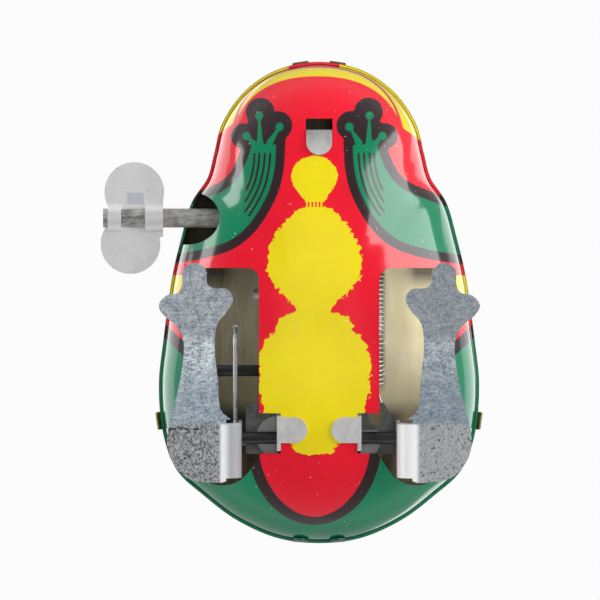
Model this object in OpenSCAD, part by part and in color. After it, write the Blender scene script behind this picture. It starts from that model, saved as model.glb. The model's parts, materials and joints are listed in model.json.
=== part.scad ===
// Wind-up hopping frog in printed tinplate, seen standing on its two flat metal feet.
// X is across the body, -Y is the snout, +Y is the rump and +Z is up; the soles lie at Z = 0.
// Everything below is drawn about the body's own centre plane (X = 0), then moved once by in_frame(),
// because the winding key makes the whole toy wider on its -X side.

/* [Body] */
// Length of the body from snout to rump
body_length = 75; // [74:0.5:76]
// Greatest width of the body, without the seam's overlap
body_width = 49.6; // [49.2:0.2:50]
// Thickness of the tinplate
tin = 0.4; // [0.3:0.05:0.5]
// Height of the seam between the lower and the upper shell
seam_z = 18; // [17.8:0.1:18.2]
// Height of the belly's lowest point
belly_z = 4; // [3.9:0.05:4.1]
// Height of the back's highest point
back_z = 34.5; // [34:0.5:36]
// How squarely the lower shell's section is pressed (2 is an ellipse)
belly_squareness = 2.6; // [2.55:0.05:2.7]
// How squarely the upper shell's section is pressed (2 is an ellipse)
back_squareness = 2.3; // [2.2:0.05:2.5]
// Radius of each eye's bulge
eye_radius = 5.6; // [5.2:0.1:6]
// Height of the centre of each eye's bulge
eye_z = 30.4; // [30:0.1:31]

/* [Feet] */
// Thickness of the foot plate
foot_plate = 0.5; // [0.4:0.05:0.5]
// Distance from the centre plane to the inner face of a foot's upright
upright_x = 12.1; // [12:0.05:12.2]
// Upward tilt of the heel behind the sole
heel_tilt = 3; // [2:0.5:4]
// Radius of the foot axle
axle_r = 0.95; // [0.9:0.05:1]

/* [Motor] */
// Gear module
gear_module = 0.5; // [0.5]
// Teeth of the great wheel on the winding arbor
great_teeth = 36; // [36]
// Teeth of the second wheel
second_teeth = 34; // [34]
// Teeth of each pinion
pinion_teeth = 12; // [12]
// Teeth of the ratchet wheel
ratchet_teeth = 12; // [12]
// Thickness of the frame's side plates
frame_plate = 0.6; // [0.5:0.1:0.6]
// Throw of the crank pin
crank_throw = 1; // [0.8:0.1:1]

/* [Key] */
// Radius of the winding arbor
arbor_r = 1.5; // [1.4:0.05:1.5]
// Radius of each lobe of the winding key
key_lobe_r = 4.7; // [4.5:0.1:4.8]
// Distance from the arbor to the centre of each lobe
key_lobe_y = 4.1; // [4:0.1:4.2]
// Thickness of the key's sheet metal
key_sheet = 0.7; // [0.6:0.05:0.8]

/* [Hidden] */
$fn = 48;

// Clearances: a shaft turning in a hole, and the seam's slip fit.
running_gap = 0.05;
seam_gap = 0.06;

// Plan outline of the right half of the body, [half width, y], from snout to rump, for a 75 x 49.6 body.
outline_stations = [[0, -37.5], [6.4, -36.3], [11.4, -33], [14.8, -28.2], [16.1, -23.4], [17.2, -19.4],
                    [19.7, -15.5], [21.3, -10], [22.8, -3.5], [24.1, 6], [24.8, 13], [24.2, 20.3],
                    [22.1, 26.1], [18, 30], [12.8, 33.9], [6.5, 36.7], [0, 37.5]];
outline_steps = 2;
shell_levels = 13;
shell_centre = [0, 2];
skirt = 1.2;
seam_step = tin + seam_gap;
eye_centre = [8.8, -20.5];

// Arbor places in the motor, as [y, z]. The second arbor is set by the gears' centre distances.
winding_at = [-13.3, 15];
crank_at = [9.7, 12];
axle_at = [21.15, 6.85];
great_r = gear_module * great_teeth / 2;
second_r = gear_module * second_teeth / 2;
pinion_r = gear_module * pinion_teeth / 2;
centre_ab = great_r + pinion_r;
centre_bc = second_r + pinion_r;
run = norm(crank_at - winding_at);
run_angle = atan2(crank_at[1] - winding_at[1], crank_at[0] - winding_at[0]);
rise_angle = acos((centre_ab * centre_ab + run * run - centre_bc * centre_bc) / (2 * centre_ab * run));
ab_angle = run_angle + rise_angle;
second_at = winding_at + centre_ab * [cos(ab_angle), sin(ab_angle)];
bc_angle = atan2(crank_at[1] - second_at[1], crank_at[0] - second_at[0]);

// Places across the body, along X.
left_plate_x = -6.6;
right_plate_x = 6;
mainspring_x = -5.6;
mainspring_w = 5;
ratchet_x = -0.2;
ratchet_w = 1;
great_x = 1.2;
great_w = 1;
second_pinion_x = 0.9;
second_pinion_w = 1.7;
second_wheel_x = 3.4;
second_wheel_w = 0.8;
crank_pinion_x = 3;
crank_pinion_w = 1.6;
crank_disc_x = -8.1;
crank_disc_w = 0.9;
crank_disc_r = 3;
crank_pin_end = -16.2;
crank_pin_r = 0.9;
second_arbor_r = 0.8;
crank_arbor_r = 0.9;
pillar_r = 0.9;
front_pillar_at = [-25.3, 15.2];
top_pillar_at = [-4, 27];
rear_pillar_at = [13.5, 20];

// Each foot's upright carries an ear, bored for the link on the left and the spring on the right.
ear_arm = 4;
ear_lean = 14;
ear_at = axle_at + ear_arm * [sin(ear_lean), cos(ear_lean)];
ear_hole_r = 0.47;
link_wire_r = 0.4;
link_x = -(upright_x + foot_plate + link_wire_r + 0.15);
heel_y = 18.2;
bend_r = 2.4;

// Kick spring: a close helix beside the right plate, from its post to the right foot's ear.
spring_wire_r = 0.2;
spring_r = 1.55;
spring_x = 8.6;
spring_z = 10.2;
spring_front = -4.4;
spring_pitch = 0.705;
spring_turns = 25;
spring_post_y = -7.2;
spring_segments = 9;

// The key's sheet reaches past the end of the arbor.
arbor_end = -34;
key_x = -29.35;

// The middle of the whole toy, from the key's outer edge to the far seam tab, and from snout to rump.
side_tab_reach = 0.69;
front_tab_w = 2.7;
front_tab_turn = 8;
front_tab_droop = 30;
front_tab_length = 0.45;
front_tab_reach = 0.02 + front_tab_w / 2 * sin(front_tab_turn)
    + (front_tab_length * cos(front_tab_droop) + tin / 2 * sin(front_tab_droop)) * cos(front_tab_turn);
in_frame_x = -(key_x - 0.35 - key_lobe_r + body_width / 2 + seam_step + side_tab_reach) / 2;
in_frame_y = (front_tab_reach - seam_step) / 2;

// ---------- helpers ----------

module in_frame() translate([in_frame_x, in_frame_y, 0]) children();

// Draws a flat shape of (y, z) points and thickens it from x0 towards +X.
module across(x0, width) translate([x0, 0, 0]) rotate([90, 0, 90]) linear_extrude(width) children();

// A round bar or hole along X at (y, z).
module bar(at, r, x0, x1) translate([x0, at[0], at[1]]) rotate([0, 90, 0]) cylinder(r = r, h = x1 - x0);

function unit(v) = v / norm(v);

// A closed smooth curve through the points (Catmull-Rom), with the given steps between each pair.
function smooth(p, steps) = let (n = len(p)) [
    for (i = [0 : n - 1]) for (k = [0 : steps - 1])
        let (a = p[(i + n - 1) % n], b = p[i], c = p[(i + 1) % n], d = p[(i + 2) % n], t = k / steps)
        0.5 * (2 * b + (c - a) * t + (2 * a - 5 * b + 4 * c - d) * t * t
               + (3 * b - a - 3 * c + d) * t * t * t)];

// Outward normals of a closed outline that runs anticlockwise.
function normals(p) = let (n = len(p)) [
    for (i = [0 : n - 1]) let (t = unit(p[(i + 1) % n] - p[(i + n - 1) % n])) [t[1], -t[0]]];

// A tube of the given radius along a path, with its ends closed.
module tube(path, r, sides) {
    n = len(path);
    t = [for (i = [0 : n - 1]) unit(path[min(i + 1, n - 1)] - path[max(i - 1, 0)])];
    start = abs(t[0][0]) < 0.8 ? [1, 0, 0] : [0, 0, 1];
    u = [for (i = 0, v = unit(start - (start * t[0]) * t[0]); i < n;
              i = i + 1, v = i < n ? unit(v - (v * t[i]) * t[i]) : v) v];
    points = [for (i = [0 : n - 1]) for (k = [0 : sides - 1])
        path[i] + r * (cos(360 * k / sides) * u[i] + sin(360 * k / sides) * cross(t[i], u[i]))];
    skin = [for (i = [0 : n - 2]) for (k = [0 : sides - 1])
        let (a = i * sides + k, b = i * sides + (k + 1) % sides) [a, a + sides, b + sides, b]];
    ends = [[for (k = [0 : sides - 1]) k], [for (k = [sides - 1 : -1 : 0]) (n - 1) * sides + k]];
    polyhedron(points, concat(skin, ends));
}

// Involute gear outline, centred, with a tooth on the +x axis.
function involute(a) = tan(a) * 180 / PI - a;
function gear_points(teeth) =
    let (r = gear_module * teeth / 2, base = r * cos(20), tip = r + 0.9 * gear_module,
         root = r - 1.2 * gear_module, slack = 0.06 / r * 180 / PI,
         half = 90 / teeth - slack / 2 + involute(20),
         radii = [root, max(root, base) + 0.02, (base + r) / 2 + 0.03, r, (r + tip) / 2, tip],
         lean = [for (q = radii) half - (q > base ? involute(acos(base / q)) : 0)])
    [for (k = [0 : teeth - 1]) let (a = 360 * k / teeth)
        for (j = [0 : 11]) let (i = j < 6 ? j : 11 - j, s = j < 6 ? -lean[i] : lean[i])
            radii[i] * [cos(a + s), sin(a + s)]];
module gear(teeth, turn) rotate(turn) polygon(gear_points(teeth));

// ---------- shells ----------

half_outline = [for (p = outline_stations) [p[0] * body_width / 49.6, p[1] * body_length / 75]];
last_station = len(half_outline) - 1;
other_half = [for (i = [last_station - 1 : -1 : 1]) [-half_outline[i][0], half_outline[i][1]]];
outline = smooth(concat(half_outline, other_half), outline_steps);
outline_normals = normals(outline);
outline_n = len(outline);

// Rings of points from the rim to the middle of a shell, on a superellipse section.
function shell_rings(outset, rim_z, tip_z, squareness) = [
    for (j = [0 : shell_levels]) let (a = 84 * j / shell_levels, s = pow(cos(a), 2 / squareness),
                                      z = rim_z + (tip_z - rim_z) * pow(sin(a), 2 / squareness))
        [for (i = [0 : outline_n - 1])
            let (p = shell_centre + s * (outline[i] + outset * outline_normals[i] - shell_centre))
            [p[0], p[1], z]]];
function flat_ring(outset, z) = [for (i = [0 : outline_n - 1])
    let (p = outline[i] + outset * outline_normals[i]) [p[0], p[1], z]];

// A thin shell between two stacks of rings that each start at the rim and close in a point.
module thin_shell(outer, outer_tip, inner, inner_tip, opens_down) {
    n = outline_n;
    rows = len(outer);
    points = concat([for (ring = outer) for (p = ring) p], [for (ring = inner) for (p = ring) p],
                    [outer_tip, inner_tip]);
    tip = 2 * rows * n;
    outside = [for (j = [0 : rows - 2]) for (i = [0 : n - 1])
        let (a = j * n + i, b = j * n + (i + 1) % n) each [[a, a + n, b], [b, a + n, b + n]]];
    inside = [for (f = outside) [f[0] + rows * n, f[2] + rows * n, f[1] + rows * n]];
    rim = [for (i = [0 : n - 1]) let (a = i, b = (i + 1) % n)
        each [[b, b + rows * n, a], [a, b + rows * n, a + rows * n]]];
    caps = [for (i = [0 : n - 1]) let (a = (rows - 1) * n + i, b = (rows - 1) * n + (i + 1) % n)
        each [[a, tip, b], [a + rows * n, b + rows * n, tip + 1]]];
    all_faces = concat(outside, inside, rim, caps);
    polyhedron(points, opens_down ? all_faces : [for (f = all_faces) [f[0], f[2], f[1]]]);
}

// A seam tab at a plan point, standing out by reach and turned to face along the angle.
module seam_tab(at, turn, tab_w, reach, droop)
    translate([at[0], at[1], seam_z - 0.7]) rotate([0, 0, turn]) rotate([0, droop, 0])
        translate([-0.2, -tab_w / 2, -tin / 2]) cube([reach + 0.2, tab_w, tin]);

// A rump tab with a round end, folded down over the outside of the lower shell's rim.
rump_tab_r = 1.25;
module rump_tab(side)
    translate([side * 2.9, body_length / 2 - 0.06, seam_z - skirt]) rotate([-8, 0, -side * 4.5])
        translate([0, tin, 0]) rotate([90, 0, 0]) linear_extrude(tin) {
            translate([-rump_tab_r, -1.65]) square([2 * rump_tab_r, 1.8]);
            translate([0, -1.65]) circle(r = rump_tab_r);
        }

back_rings_out = concat([flat_ring(seam_step, seam_z - skirt)],
                        shell_rings(seam_step, seam_z, back_z, back_squareness));
back_rings_in = concat([flat_ring(seam_gap, seam_z - skirt)],
                       shell_rings(seam_gap, seam_z, back_z - tin, back_squareness));
back_tip_out = [0, shell_centre[1], back_z];
back_tip_in = [0, shell_centre[1], back_z - tin];

// The space inside the upper shell, as a solid.
module back_hollow() {
    n = outline_n;
    rows = len(back_rings_in);
    polyhedron(concat([for (ring = back_rings_in) for (p = ring) p], [back_tip_in]),
               concat([[for (i = [0 : n - 1]) i]],
                      [for (j = [0 : rows - 2]) for (i = [0 : n - 1])
                          let (a = j * n + i, b = j * n + (i + 1) % n)
                          each [[a, a + n, b], [b, a + n, b + n]]],
                      [for (i = [0 : n - 1]) [(rows - 1) * n + i, rows * n, (rows - 1) * n + (i + 1) % n]]));
}

module at_eyes() for (side = [-1, 1]) translate([side * eye_centre[0], eye_centre[1], eye_z]) children();

module upper_shell() color([0.02, 0.45, 0.27]) in_frame() union() {
    difference() {
        thin_shell(back_rings_out, back_tip_out, back_rings_in, back_tip_in, true);
        at_eyes() sphere(r = eye_radius - tin / 2);
    }
    difference() {
        at_eyes() sphere(r = eye_radius);
        at_eyes() sphere(r = eye_radius - tin);
        back_hollow();
    }
    for (side = [-1, 1]) {
        seam_tab([side * 2.9, -37.52], side * front_tab_turn - 90, front_tab_w, front_tab_length,
                 front_tab_droop);
        seam_tab([side * 24.75, 18.6], side < 0 ? 172 : 8, 2.8, 1.1, 35);
        rump_tab(side);
    }
}

// Plan shape of the opening over one foot, with the notch for the frame's tab.
module leg_window() polygon(concat(
    [for (a = [180 : 15 : 270]) [11.3, -3.5] + 1.9 * [cos(a), sin(a)]],
    [for (a = [270 : 15 : 360]) [18.4, -3.4] + 2 * [cos(a), sin(a)]],
    [[20.6, 8], [20.7, 20]],
    [for (a = [0 : 15 : 150]) [15.3, 23.1] + [5.4 * cos(a), 5.6 * sin(a)]],
    [[9.1, 23.6], [6, 23.6], [6, 17.3], [9.4, 17.3]]));

module lower_shell() color([0.92, 0.1, 0.16]) in_frame() {
    difference() {
        thin_shell(shell_rings(0, seam_z - 0.05, belly_z, belly_squareness),
                   [0, shell_centre[1], belly_z],
                   shell_rings(-tin, seam_z - 0.05, belly_z + tin, belly_squareness),
                   [0, shell_centre[1], belly_z + tin], false);
        for (side = [0, 1]) mirror([side, 0, 0]) linear_extrude(seam_z - 3) leg_window();
        translate([-2.1, -28.8, 0]) cube([4.2, 2.3, seam_z - 4]);
        translate([-body_width / 2 + 4.2, winding_at[0], 0]) scale([1.2, 1, 1])
            linear_extrude(seam_z + 1) union() {
                circle(r = 4.2);
                translate([-8, -4.2]) square([8, 8.4]);
            }
    }
}

// ---------- motor frame ----------

// Side outline of both plates, with the stalk that reaches down through the belly's notch.
plate_outline = [[-27.6, 13], [-27.6, 18], [-21, 24.6], [-10, 28], [-2, 29.2], [6, 27.2], [15.5, 21.8],
                 [20, 14], [23.9, 9.9], [23.2, 8.4], [23.2, 4.87], [17.7, 4.05], [17.7, 6.2], [-1, 6.2],
                 [-12, 6.6], [-20, 8.4]];

module side_plate(x0) difference() {
    across(x0, frame_plate) polygon(plate_outline);
    bar(winding_at, arbor_r + running_gap, x0 - 1, x0 + 2);
    bar(second_at, second_arbor_r + running_gap, x0 - 1, x0 + 2);
    bar(crank_at, crank_arbor_r + running_gap, x0 - 1, x0 + 2);
    bar(axle_at, axle_r + running_gap, x0 - 1, x0 + 2);
    for (at = [front_pillar_at, top_pillar_at, rear_pillar_at]) bar(at, pillar_r, x0 - 1, x0 + 2);
}

// The tab folded in over the outside of the belly strip, drawn for the +X side.
module belly_tab() translate([0, 17.95, 4.1]) rotate([8.5, 0, 0]) linear_extrude(0.5) union() {
    translate([3.9, 0]) square([2.7, 4.05]);
    translate([3.9, 2.025]) circle(r = 2.025);
}

// Height of the shelf folded out of each plate over the axle.
shelf_z = 8.7;
module frame_left_plate() color([0.62, 0.63, 0.65]) in_frame() {
    side_plate(left_plate_x);
    mirror([1, 0, 0]) belly_tab();
    translate([-11.5, 15.7, shelf_z]) cube([5, 8, frame_plate]);
    intersection() {
        translate([-6.6, 21, shelf_z - 0.5]) cylinder(r = 3.2, h = 0.5);
        translate([-12, 16, shelf_z - 1]) cube([5.5, 12, 2]);
    }
}

module frame_right_plate() color([0.62, 0.63, 0.65]) in_frame() {
    side_plate(right_plate_x);
    belly_tab();
    difference() {
        translate([6.5, 0, shelf_z]) linear_extrude(frame_plate)
            polygon([[0, 15.7], [3.6, 15.7], [5, 18], [5, 23.7], [0, 23.7]]);
        translate([8.9, 18, shelf_z - 1]) cylinder(r = 1.25, h = 3);
    }
    intersection() {
        translate([6.6, 21.6, shelf_z - 0.5]) cylinder(r = 3, h = 0.5);
        translate([6.5, 20, shelf_z - 1]) cube([5.5, 6, 2]);
    }
}

module pillar(at) {
    bar(at, pillar_r, left_plate_x - 0.5, right_plate_x + frame_plate + 0.5);
    bar(at, pillar_r + 0.4, left_plate_x + frame_plate + 0.01, left_plate_x + frame_plate + 0.5);
    bar(at, pillar_r + 0.4, right_plate_x - 0.5, right_plate_x - 0.01);
}
module front_pillar() color([0.55, 0.55, 0.57]) in_frame() pillar(front_pillar_at);
module top_pillar() color([0.55, 0.55, 0.57]) in_frame() pillar(top_pillar_at);
module rear_pillar() color([0.55, 0.55, 0.57]) in_frame() pillar(rear_pillar_at);

// The front strap hangs on the front pillar and folds back under the belly through its slot.
strap_y = -27;
module front_strap() color([0.68, 0.69, 0.71]) in_frame() {
    difference() {
        union() {
            bar(front_pillar_at, pillar_r + 0.7, -2, 2);
            translate([-2, strap_y, 6.4]) cube([4, 0.5, front_pillar_at[1] - 6.4]);
        }
        bar(front_pillar_at, pillar_r, -5, 5);
    }
    translate([0, strap_y, 6.25]) rotate([-14.4, 0, 0]) linear_extrude(0.5) union() {
        translate([-2, 0]) square([4, 2]);
        translate([0, 2]) circle(r = 2);
    }
}

// ---------- mainspring and winding parts ----------

mainspring_inner = arbor_r + 0.35;
mainspring_outer = 9.2;
mainspring_turns = 7;
mainspring_strip = 0.35;
function spiral(a, off) = let (f = a / (360 * mainspring_turns),
                               r = mainspring_inner + (mainspring_outer - mainspring_inner) * f + off)
    r * [cos(a + 170), sin(a + 170)];
module mainspring() color([0.3, 0.31, 0.35]) in_frame()
    translate([0, winding_at[0], winding_at[1]]) across(mainspring_x, mainspring_w) union() {
        last = 360 * mainspring_turns;
        polygon(concat([for (a = [0 : 15 : last]) spiral(a, 0)],
                       [for (a = [last : -15 : 0]) spiral(a, mainspring_strip)]));
        hook = spiral(last, 0);
        polygon([hook, hook + [-2, -0.2], hook + [-2, 0.2], spiral(last, mainspring_strip) + [0.4, 0.35]]);
    }

module winding_arbor() color([0.5, 0.5, 0.49]) in_frame() {
    bar(winding_at, arbor_r, arbor_end, right_plate_x + frame_plate + 0.6);
    bar(winding_at, arbor_r + 0.8, left_plate_x + frame_plate + running_gap, mainspring_x - 0.05);
}

// Key sheet: two lobes joined by straps that pass under and over the arbor.
module key_strap(x0, width, below) difference() {
    bar(winding_at, arbor_r + key_sheet, x0, x0 + width);
    bar(winding_at, arbor_r, x0 - 1, x0 + width + 1);
    translate([x0 - 1, winding_at[0] - 5, winding_at[1] + (below ? key_sheet / 2 : -key_sheet / 2 - 5)])
        cube([width + 2, 10, 5]);
}
module winding_key() color([0.78, 0.79, 0.81]) in_frame() {
    difference() {
        translate([key_x, winding_at[0], winding_at[1] - key_sheet / 2]) linear_extrude(key_sheet) union() {
            translate([0.25, -key_lobe_y]) circle(r = key_lobe_r);
            translate([-0.35, key_lobe_y]) circle(r = key_lobe_r);
            translate([-3.9, -3]) square([8.7, 6]);
        }
        translate([key_x - 8, winding_at[0] - arbor_r, 0]) cube([16, 2 * arbor_r, 30]);
    }
    key_strap(key_x - 3.9, 2.1, true);
    key_strap(key_x + 2, 2.8, true);
    key_strap(key_x - 1.8, 3.8, false);
}

ratchet_tip = 4;
ratchet_root = 3.2;
module ratchet_wheel() color([0.6, 0.6, 0.62]) in_frame() difference() {
    translate([0, winding_at[0], winding_at[1]]) across(ratchet_x, ratchet_w)
        polygon([for (k = [0 : ratchet_teeth - 1]) let (a = 360 * k / ratchet_teeth)
            each [ratchet_tip * [cos(a), sin(a)], ratchet_root * [cos(a + 2), sin(a + 2)]]]);
    bar(winding_at, arbor_r, ratchet_x - 1, ratchet_x + ratchet_w + 1);
}

rivet_radius = 6.9;
rivet_angle = 235;
click_tip_angle = 190;
function from_arbor(r, a) = winding_at + r * [cos(a), sin(a)];

module great_wheel() color([0.75, 0.68, 0.45]) in_frame() difference() {
    translate([0, winding_at[0], winding_at[1]]) across(great_x, great_w) gear(great_teeth, ab_angle);
    bar(winding_at, arbor_r + running_gap, great_x - 1, great_x + great_w + 1);
    bar(from_arbor(rivet_radius, rivet_angle), 0.6, great_x - 1, great_x + great_w + 1);
    for (a = [45, 135, 315]) bar(from_arbor(5.4, a), 2, great_x - 1, great_x + great_w + 1);
}

module click() color([0.7, 0.7, 0.72]) in_frame() difference() {
    hub = from_arbor(rivet_radius, rivet_angle);
    tip = from_arbor(ratchet_tip + 0.15, click_tip_angle);
    union() {
        bar(hub, 1.2, 0, 0.7);
        across(0, 0.7) polygon([hub + [0.9, 0.2], hub + [-0.9, -0.2], from_arbor(6.1, 205),
                                from_arbor(5, 186), tip, from_arbor(ratchet_tip + 0.25, 200),
                                from_arbor(4.9, 218)]);
    }
    bar(hub, 0.6, -1, 2);
}

module click_rivet() color([0.7, 0.7, 0.72]) in_frame() {
    hub = from_arbor(rivet_radius, rivet_angle);
    bar(hub, 0.6, -0.35, great_x + great_w + 0.35);
    bar(hub, 1, -0.35, -0.01);
    bar(hub, 1, 0.71, great_x - 0.01);
    bar(hub, 1, great_x + great_w + 0.01, great_x + great_w + 0.35);
}

// ---------- second arbor and crank ----------

module second_arbor() color([0.8, 0.8, 0.8]) in_frame()
    bar(second_at, second_arbor_r, -10.3, right_plate_x + frame_plate + 0.4);

module pinion_on(at, x0, width, turn, arbor) difference() {
    translate([0, at[0], at[1]]) across(x0, width) gear(pinion_teeth, turn);
    bar(at, arbor, x0 - 1, x0 + width + 1);
}
// A half-tooth turn puts a gap, and not a tooth, on the line towards the driving wheel.
half_pitch = 180 / pinion_teeth;
module second_pinion() color([0.75, 0.68, 0.45]) in_frame()
    pinion_on(second_at, second_pinion_x, second_pinion_w, ab_angle + 180 + half_pitch, second_arbor_r);
module crank_pinion() color([0.75, 0.68, 0.45]) in_frame()
    pinion_on(crank_at, crank_pinion_x, crank_pinion_w, bc_angle + 180 + half_pitch, crank_arbor_r);

module second_wheel() color([0.75, 0.68, 0.45]) in_frame() difference() {
    translate([0, second_at[0], second_at[1]]) across(second_wheel_x, second_wheel_w)
        gear(second_teeth, bc_angle);
    bar(second_at, second_arbor_r, second_wheel_x - 1, second_wheel_x + 2);
    for (a = [30 : 90 : 300])
        bar(second_at + 4.2 * [cos(a), sin(a)], 1.6, second_wheel_x - 1, second_wheel_x + 2);
}

module crank_arbor() color([0.5, 0.5, 0.52]) in_frame()
    bar(crank_at, crank_arbor_r, crank_disc_x, right_plate_x + frame_plate + 0.4);

crank_pin_at = crank_at + [crank_throw, 0];
module crank_disc() color([0.6, 0.6, 0.62]) in_frame() difference() {
    bar(crank_at, crank_disc_r, crank_disc_x, crank_disc_x + crank_disc_w);
    bar(crank_at, crank_arbor_r, crank_disc_x - 1, crank_disc_x + 2);
}
module crank_pin() color([0.25, 0.24, 0.24]) in_frame()
    bar(crank_pin_at, crank_pin_r, crank_pin_end, crank_disc_x);

// ---------- feet, link and kick spring ----------

// Sole outline of the right foot in plan: heel, waist and three toes.
foot_outline = [[19.4, -6.2], [21.2, -5.1], [21.3, -2.9], [22, -1.5], [23.8, -1.1], [25, 0.4], [24.2, 2],
                [22.2, 3.7], [21.1, 6.2], [21.3, 10], [22.2, 14.5], [23.3, 18.6], [23.7, 22.2], [22.8, 25],
                [20.6, 27.3], [17.5, 28], [14.4, 27.8], [13, 25], [13, 21], [13.6, 18.4], [15.4, 16.6],
                [15.8, 12], [16.3, 7], [15.9, 3.4], [14.4, 1.5], [13.4, -0.5], [14.4, -2.1], [16.4, -2.2],
                [17.5, -3.1], [17.6, -5.1]];

// Side outline of the upright with its ear, as (y, z).
upright_outline = [[18.8, 1.2], [18.8, 7.6], [20.2, 11.6], [21.2, 12.4], [23.2, 12.4], [24.2, 11.4],
                   [25.2, 8], [27.4, 3], [27.4, -2], [18.8, -2]];

module heel_turned()
    translate([0, heel_y, 0]) rotate([heel_tilt, 0, 0]) translate([0, -heel_y, 0]) children();

module foot() difference() {
    union() {
        intersection() {
            linear_extrude(foot_plate) polygon(smooth(foot_outline, 3));
            translate([0, -20, -1]) cube([40, heel_y + 20, 3]);
        }
        heel_turned() intersection() {
            linear_extrude(foot_plate) polygon(smooth(foot_outline, 3));
            translate([upright_x + bend_r, heel_y - 0.02, -1]) cube([40, 20, 3]);
        }
        heel_turned() intersection() {
            translate([0, 40, 0]) rotate([90, 0, 0]) linear_extrude(30) union() {
                difference() {
                    translate([upright_x + bend_r, bend_r]) circle(r = bend_r);
                    translate([upright_x + bend_r, bend_r]) circle(r = bend_r - foot_plate);
                    translate([upright_x + bend_r, -1]) square([6, 8]);
                    translate([upright_x, bend_r]) square([6, 6]);
                }
                translate([upright_x, bend_r - 0.01]) square([foot_plate, 13]);
                translate([upright_x + bend_r - 0.01, 0]) square([0.6, foot_plate]);
            }
            across(0, 40) polygon(upright_outline);
        }
    }
    bar(axle_at, axle_r, 0, 20);
    bar(ear_at, ear_hole_r, 0, 20);
}
module right_foot() color([0.6, 0.63, 0.67]) in_frame() foot();
module left_foot() color([0.6, 0.63, 0.67]) in_frame() mirror([1, 0, 0]) foot();

module foot_axle() color([0.28, 0.27, 0.27]) in_frame() {
    bar(axle_at, axle_r, -upright_x - foot_plate - 0.5, upright_x + foot_plate + 0.5);
    for (side = [-1, 1]) {
        outer = side * (upright_x + foot_plate + 0.51);
        inner = side * (upright_x + foot_plate + 0.01);
        bar(axle_at, axle_r + 0.4, min(outer, inner), max(outer, inner));
    }
}

// Wire link: a long loop round the crank pin that narrows into one wire and hooks into the left ear.
loop_gap = crank_throw + crank_pin_r + 0.35 + link_wire_r;
loop_front = 6.5;
loop_rear = 13.4;
link_z = ear_at[1];
loop_z = crank_at[1];
link_path = concat(
    [[link_x, ear_at[0], link_z], [link_x, 17.5, link_z], [link_x, loop_rear, loop_z - loop_gap]],
    [for (a = [270 : -22.5 : 90]) [link_x, loop_front + loop_gap * cos(a), loop_z + loop_gap * sin(a)]],
    [[link_x, loop_rear - 1.4, loop_z + loop_gap], [link_x, 15.3, link_z + 2.6],
     [link_x, 17.3, link_z + 0.9]]);
module kick_link() color([0.8, 0.8, 0.78]) in_frame() {
    tube(link_path, link_wire_r, 10);
    bar(ear_at, link_wire_r, link_x - 0.2, -upright_x + 0.8);
}

module spring_post() color([0.7, 0.7, 0.72]) in_frame() {
    bar([spring_post_y, spring_z], 0.7, right_plate_x + frame_plate + 0.01, spring_x + 0.9);
    bar([spring_post_y, spring_z], 1.1, spring_x + 0.5, spring_x + 0.9);
}

spring_end = spring_front + spring_pitch * spring_turns;
spring_path = concat(
    [for (a = [-150 : 30 : 150])
        [spring_x, spring_post_y - 0.95 * cos(a), spring_z - 0.95 * sin(a)]],
    [[spring_x, spring_post_y + 1.6, spring_z - 0.1]],
    [for (i = [0 : spring_turns * spring_segments]) let (a = 360 * i / spring_segments)
        [spring_x + spring_r * sin(a), spring_front + spring_pitch * i / spring_segments,
         spring_z + spring_r * cos(a)]],
    [[spring_x + 0.6, spring_end + 0.9, spring_z + 0.5], [upright_x - 0.9, ear_at[0] - 1.1, ear_at[1]],
     [upright_x - 0.5, ear_at[0], ear_at[1]], [upright_x + foot_plate + 0.5, ear_at[0], ear_at[1]]]);
module kick_spring() color([0.75, 0.75, 0.75]) in_frame() tube(spring_path, spring_wire_r, 6);

upper_shell();
lower_shell();
frame_left_plate();
frame_right_plate();
front_pillar();
top_pillar();
rear_pillar();
front_strap();
mainspring();
spring_post();
kick_spring();
winding_arbor();
winding_key();
ratchet_wheel();
great_wheel();
click();
click_rivet();
second_arbor();
second_pinion();
second_wheel();
crank_arbor();
crank_pinion();
crank_disc();
crank_pin();
foot_axle();
left_foot();
right_foot();
kick_link();
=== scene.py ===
"""Wind-up hopping tin frog: materials, printed shells, wire parts, light and camera round the CAD frame."""
import json
import math

import bpy
import numpy as np
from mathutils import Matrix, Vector

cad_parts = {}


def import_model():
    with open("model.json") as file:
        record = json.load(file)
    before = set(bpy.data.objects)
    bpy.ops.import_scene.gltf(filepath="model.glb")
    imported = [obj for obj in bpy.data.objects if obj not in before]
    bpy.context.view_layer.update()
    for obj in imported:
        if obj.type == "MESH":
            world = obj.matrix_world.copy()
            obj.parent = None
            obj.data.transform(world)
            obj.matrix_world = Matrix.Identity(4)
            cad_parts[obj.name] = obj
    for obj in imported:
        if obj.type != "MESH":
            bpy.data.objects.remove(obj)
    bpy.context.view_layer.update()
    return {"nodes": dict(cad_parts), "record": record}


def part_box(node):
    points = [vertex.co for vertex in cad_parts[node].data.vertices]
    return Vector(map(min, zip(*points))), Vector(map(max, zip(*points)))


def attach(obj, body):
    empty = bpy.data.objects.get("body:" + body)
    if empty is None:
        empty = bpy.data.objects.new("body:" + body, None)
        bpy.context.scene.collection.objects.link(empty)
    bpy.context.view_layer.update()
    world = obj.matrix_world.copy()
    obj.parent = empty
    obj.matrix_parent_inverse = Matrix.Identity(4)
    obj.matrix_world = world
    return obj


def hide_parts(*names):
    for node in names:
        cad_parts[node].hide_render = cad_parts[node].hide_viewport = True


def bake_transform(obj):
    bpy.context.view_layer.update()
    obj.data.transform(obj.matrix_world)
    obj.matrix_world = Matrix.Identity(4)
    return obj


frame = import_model()

# The body's own centre plane and middle, from the lower shell, which is symmetric about both.
shell_lo, shell_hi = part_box("lower_shell")
OX, OY = (shell_lo[0] + shell_hi[0]) / 2, (shell_lo[1] + shell_hi[1]) / 2
MM = 0.001

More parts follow.
